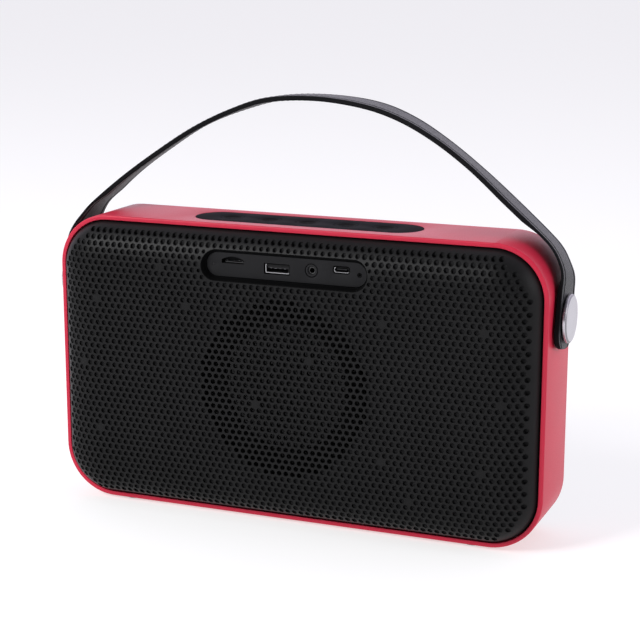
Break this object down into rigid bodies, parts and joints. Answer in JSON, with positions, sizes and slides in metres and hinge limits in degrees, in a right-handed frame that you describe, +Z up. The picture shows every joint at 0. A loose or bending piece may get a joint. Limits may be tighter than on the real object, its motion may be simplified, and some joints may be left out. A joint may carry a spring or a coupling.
{
  "type": "portable party speaker",
  "caption": "Portable party speaker: red wrap-around band, pillow-shaped black panels, keypad on top, recessed sockets, swinging leather strap on silver pivots, drivers and radiator inside.",
  "frame": {"origin": "middle of the resting plane under the feet, below the middle of the body", "axes": "+X along the length, -Y out of the socket side, +Y out of the driver side, +Z up"},
  "size_m": [0.2672, 0.065, 0.2132],
  "materials": {
    "band_red": "satin lacquer, fine grain",
    "panel_black": "satin, dimpled grille",
    "inner_black": "matt",
    "keypad_grey": "soft-touch",
    "leather": "fine pebble grain, stitched edges",
    "satin_silver": "satin anodised",
    "steel": "plated",
    "rubber": "matt",
    "paper_cone": "pressed paper",
    "magnet": "ground ferrite",
    "circuit_board": "solder mask",
    "battery_cell": "shrink sleeve",
    "light_lens": "clear lens"
  },
  "bodies": {
    "cabinet": {"outer_band": "band_red", "rear_panel": "panel_black", "front_panel": "panel_black", "front_baffle": "inner_black", "port_plate": "panel_black", "microsd_socket": "steel", "usb_a_socket": "steel", "micro_usb_socket": "steel", "headphone_jack": "inner_black", "microphone": "steel", "status_light": "light_lens", "main_circuit_board": "circuit_board", "keypad_circuit_board": "circuit_board", "keypad_frame": "keypad_grey", "radiator_frame": "inner_black", "radiator_surround": "rubber", "battery_holder": "inner_black", "rear_battery_cell": "battery_cell", "front_battery_cell": "battery_cell", "cabinet_screw_1": "steel", "cabinet_screw_2": "steel", "cabinet_screw_3": "steel", "cabinet_screw_4": "steel", "phone_switch": "steel", "previous_switch": "steel", "play_switch": "steel", "next_switch": "steel", "mode_switch": "steel", "left_driver_frame": "inner_black", "left_driver_magnet": "magnet", "left_driver_surround": "rubber", "left_pivot_screw": "steel", "left_pivot_cap": "satin_silver", "left_pivot_washer": "rubber", "left_pivot_nut": "steel", "rear_left_foot": "rubber", "front_left_foot": "rubber", "right_driver_frame": "inner_black", "right_driver_magnet": "magnet", "right_driver_surround": "rubber", "right_pivot_screw": "steel", "right_pivot_cap": "satin_silver", "right_pivot_washer": "rubber", "right_pivot_nut": "steel", "rear_right_foot": "rubber", "front_right_foot": "rubber"},
    "strap": {"strap": "leather"},
    "left_cone": {"left_driver_cone": "paper_cone"},
    "right_cone": {"right_driver_cone": "paper_cone"},
    "radiator": {"radiator_plate": "inner_black", "radiator_weight": "steel"},
    "phone_key": {"phone_button": "keypad_grey"},
    "previous_key": {"previous_button": "keypad_grey"},
    "play_key": {"play_button": "keypad_grey"},
    "next_key": {"next_button": "keypad_grey"},
    "mode_key": {"mode_button": "keypad_grey"}
  },
  "joints": [
    {"name": "strap_swing", "type": "hinge", "parent": "cabinet", "child": "strap", "pos_m": [0, 0, 0.1117], "axis": [1, 0, 0], "range_deg": [-94, 116]},
    {"name": "phone_press", "type": "slide", "parent": "cabinet", "child": "phone_key", "axis": [0, 0, -1], "range_m": [0, 0.0005], "stiffness_N_per_m": 2000},
    {"name": "previous_press", "type": "slide", "parent": "cabinet", "child": "previous_key", "axis": [0, 0, -1], "range_m": [0, 0.0005], "stiffness_N_per_m": 2000},
    {"name": "play_press", "type": "slide", "parent": "cabinet", "child": "play_key", "axis": [0, 0, -1], "range_m": [0, 0.0005], "stiffness_N_per_m": 2000},
    {"name": "next_press", "type": "slide", "parent": "cabinet", "child": "next_key", "axis": [0, 0, -1], "range_m": [0, 0.0005], "stiffness_N_per_m": 2000},
    {"name": "mode_press", "type": "slide", "parent": "cabinet", "child": "mode_key", "axis": [0, 0, -1], "range_m": [0, 0.0005], "stiffness_N_per_m": 2000},
    {"name": "left_cone_travel", "type": "slide", "parent": "cabinet", "child": "left_cone", "axis": [0, 1, 0], "range_m": [-0.0025, 0.0025], "stiffness_N_per_m": 1200},
    {"name": "right_cone_travel", "type": "slide", "parent": "cabinet", "child": "right_cone", "axis": [0, 1, 0], "range_m": [-0.0025, 0.0025], "stiffness_N_per_m": 1200},
    {"name": "radiator_travel", "type": "slide", "parent": "cabinet", "child": "radiator", "axis": [0, 1, 0], "range_m": [-0.0025, 0.0025], "stiffness_N_per_m": 1000}
  ]
}
